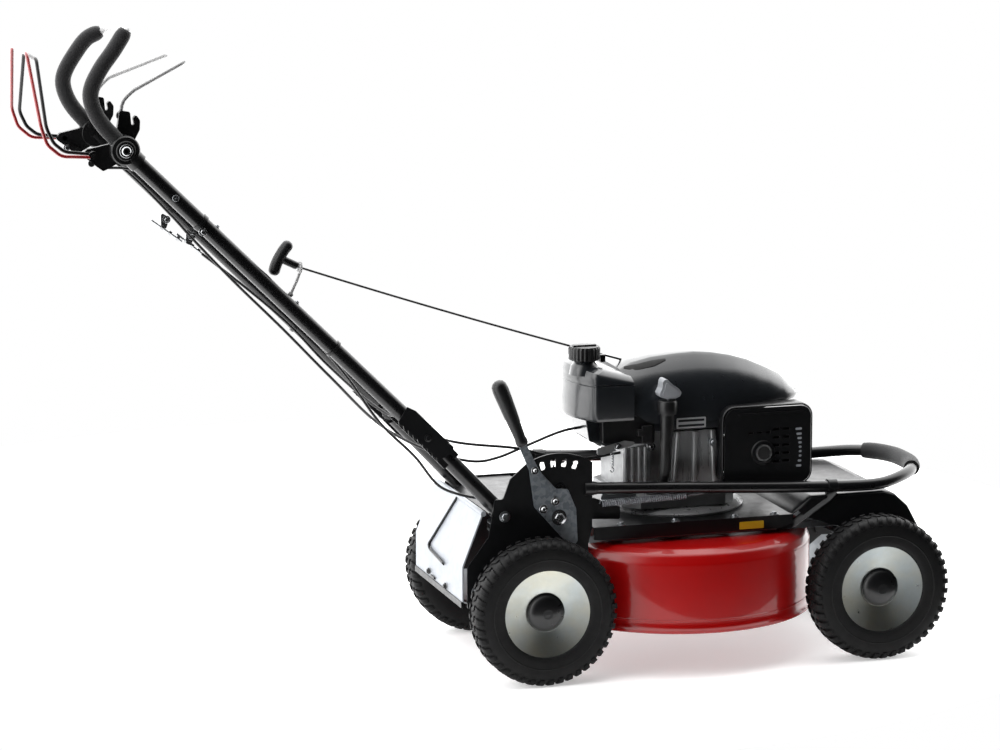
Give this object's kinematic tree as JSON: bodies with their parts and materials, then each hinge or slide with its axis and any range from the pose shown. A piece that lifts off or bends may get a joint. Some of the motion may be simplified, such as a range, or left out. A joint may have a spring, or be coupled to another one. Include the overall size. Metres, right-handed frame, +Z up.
{
  "type": "walk-behind mulching mower",
  "caption": "Petrol mulching mower with a round closed deck, wheels on height cranks, a front guard bar and a long folding tube handle with a looped grip and bails.",
  "frame": {"origin": "on the ground under the middle of the machine's length", "axes": "+X forwards, the way the mower is pushed; +Y to the operator's left; +Z up"},
  "size_m": [1.6414, 0.506, 1.17],
  "materials": {
    "paint_red": "glossy red enamel",
    "paint_black": "satin black powder coat",
    "plastic_black": "satin black moulded plastic",
    "foam_black": "matt black foam and sheathing",
    "zinc_steel": "bright zinc plate",
    "cast_aluminium": "as cast",
    "tyre_rubber": "matt black rubber",
    "grey_sheet": "light grey gloss"
  },
  "bodies": {
    "chassis": {"deck_shell": "paint_red", "chassis_plate": "paint_black", "front_hood": "paint_black", "side_plate_right": "paint_black", "side_plate_left": "paint_black", "rear_cover": "paint_black", "guard_bar": "paint_black", "guard_grip": "foam_black", "engine_flange": "zinc_steel", "crankcase": "cast_aluminium", "cylinder": "cast_aluminium", "fuel_tank": "plastic_black", "blower_housing": "plastic_black", "engine_cowl": "plastic_black", "muffler_guard": "paint_black", "muffler": "cast_aluminium", "air_cleaner": "plastic_black", "oil_filler_tube": "plastic_black", "drive_belt": "foam_black", "gearbox": "cast_aluminium", "lower_handle_right": "paint_black", "lower_handle_left": "paint_black", "starter_rope": "foam_black", "cable_blade": "foam_black", "cable_drive": "foam_black", "cable_throttle": "foam_black"},
    "engine_shaft": {"crankshaft": "zinc_steel", "flywheel": "cast_aluminium", "drive_pulley": "cast_aluminium", "mulching_blade": "zinc_steel", "blade_hub": "cast_aluminium"},
    "driven_pulley": {"gearbox_pulley": "cast_aluminium"},
    "rear_axle": {"rear_axle": "paint_black"},
    "front_axle": {"front_axle": "paint_black"},
    "height_rod": {"height_rod": "zinc_steel"},
    "height_link": {"height_link": "zinc_steel"},
    "height_lever": {"height_lever": "zinc_steel", "height_lever_grip": "plastic_black"},
    "upper_handle": {"upper_handle_right": "paint_black", "upper_handle_left": "paint_black", "joint_casting_right": "plastic_black", "joint_casting_left": "plastic_black", "grip_loop": "foam_black", "rope_guide": "zinc_steel", "starter_rope_pull": "foam_black"},
    "bail_blade": {"bail_blade": "paint_black"},
    "bail_drive": {"bail_drive": "paint_red"},
    "bail_front": {"bail_front": "zinc_steel"},
    "starter_handle": {"starter_handle": "plastic_black"},
    "rear_flap": {"rear_flap": "grey_sheet"},
    "fuel_cap": {"fuel_cap": "plastic_black"},
    "oil_dipstick": {"oil_dipstick": "cast_aluminium"},
    "wheel_front_right": {"tyre_front_right": "tyre_rubber", "rim_front_right": "zinc_steel"},
    "wheel_front_left": {"tyre_front_left": "tyre_rubber", "rim_front_left": "zinc_steel"},
    "wheel_rear_right": {"tyre_rear_right": "tyre_rubber", "rim_rear_right": "zinc_steel"},
    "wheel_rear_left": {"tyre_rear_left": "tyre_rubber", "rim_rear_left": "zinc_steel"}
  },
  "joints": [
    {"name": "crank_spin", "type": "hinge", "parent": "chassis", "child": "engine_shaft", "pos_m": [0.36175, 0, 0.24], "axis": [0, 0, 1], "continuous": true},
    {"name": "gearbox_spin", "type": "hinge", "parent": "chassis", "child": "driven_pulley", "pos_m": [0.06075, 0, 0.24], "axis": [0, 0, 1], "continuous": true},
    {"name": "height_lever_swing", "type": "hinge", "parent": "chassis", "child": "height_lever", "pos_m": [0.09575, -0.157, 0.285], "axis": [0, 1, 0], "range_deg": [0, 48]},
    {"name": "rear_crank", "type": "hinge", "parent": "chassis", "child": "rear_axle", "pos_m": [0.09725, 0, 0.164], "axis": [0, 1, 0], "range_deg": [0, 48]},
    {"name": "front_crank", "type": "hinge", "parent": "chassis", "child": "front_axle", "pos_m": [0.72425, 0, 0.164], "axis": [0, 1, 0], "range_deg": [0, 48]},
    {"name": "rod_level", "type": "hinge", "parent": "rear_axle", "child": "height_rod", "pos_m": [0.05125, -0.1405, 0.237], "axis": [0, 1, 0], "range_deg": [-48, 0]},
    {"name": "link_level", "type": "hinge", "parent": "height_lever", "child": "height_link", "pos_m": [0.11975, -0.1535, 0.298], "axis": [0, 1, 0], "range_deg": [-48, 0]},
    {"name": "wheel_front_right_roll", "type": "hinge", "parent": "front_axle", "child": "wheel_front_right", "pos_m": [0.68025, -0.203, 0.13], "axis": [0, 1, 0], "continuous": true},
    {"name": "wheel_front_left_roll", "type": "hinge", "parent": "front_axle", "child": "wheel_front_left", "pos_m": [0.68025, 0.203, 0.13], "axis": [0, 1, 0], "continuous": true},
    {"name": "wheel_rear_right_roll", "type": "hinge", "parent": "rear_axle", "child": "wheel_rear_right", "pos_m": [0.05325, -0.203, 0.13], "axis": [0, 1, 0], "continuous": true},
    {"name": "wheel_rear_left_roll", "type": "hinge", "parent": "rear_axle", "child": "wheel_rear_left", "pos_m": [0.05325, 0.203, 0.13], "axis": [0, 1, 0], "continuous": true},
    {"name": "handle_fold", "type": "hinge", "parent": "chassis", "child": "upper_handle", "pos_m": [-0.13725, 0, 0.438], "axis": [0, 1, 0], "range_deg": [-15, 15], "deforming": ["starter_rope", "cable_blade", "cable_drive", "cable_throttle"]},
    {"name": "bail_blade_swing", "type": "hinge", "parent": "upper_handle", "child": "bail_blade", "pos_m": [-0.71325, 0, 0.95], "axis": [0, 1, 0], "range_deg": [0, 26], "stiffness_Nm_per_rad": 2, "springref_deg": -28.65},
    {"name": "bail_drive_swing", "type": "hinge", "parent": "upper_handle", "child": "bail_drive", "pos_m": [-0.71325, 0, 0.95], "axis": [0, 1, 0], "range_deg": [0, 30], "stiffness_Nm_per_rad": 2, "springref_deg": -28.65},
    {"name": "bail_front_swing", "type": "hinge", "parent": "upper_handle", "child": "bail_front", "pos_m": [-0.65925, 0, 1.012], "axis": [0, 1, 0], "range_deg": [-35, 0], "stiffness_Nm_per_rad": 2, "springref_deg": 28.65},
    {"name": "starter_pull", "type": "slide", "parent": "upper_handle", "child": "starter_handle", "axis": [-0.7998, 0.2999, 0.5199], "range_m": [0, 0.35], "stiffness_N_per_m": 40, "springref_m": -0.4, "deforming": ["starter_rope_pull"]},
    {"name": "flap_lift", "type": "hinge", "parent": "chassis", "child": "rear_flap", "pos_m": [-0.03825, 0, 0.297], "axis": [0, 1, 0], "range_deg": [0, 60]},
    {"name": "fuel_cap_turn", "type": "hinge", "parent": "chassis", "child": "fuel_cap", "pos_m": [0.17175, -0.068, 0.558], "axis": [0, 0, 1], "range_deg": [0, 90]},
    {"name": "dipstick_lift", "type": "slide", "parent": "chassis", "child": "oil_dipstick", "axis": [0, 0, 1], "range_m": [0, 0.12]}
  ],
  "couplings": [
    {"joint": "gearbox_spin", "follows": "crank_spin", "ratio": 0.6591},
    {"joint": "rear_crank", "follows": "height_lever_swing", "ratio": 1},
    {"joint": "front_crank", "follows": "height_lever_swing", "ratio": 1},
    {"joint": "rod_level", "follows": "height_lever_swing", "ratio": -1},
    {"joint": "link_level", "follows": "height_lever_swing", "ratio": -1}
  ]
}
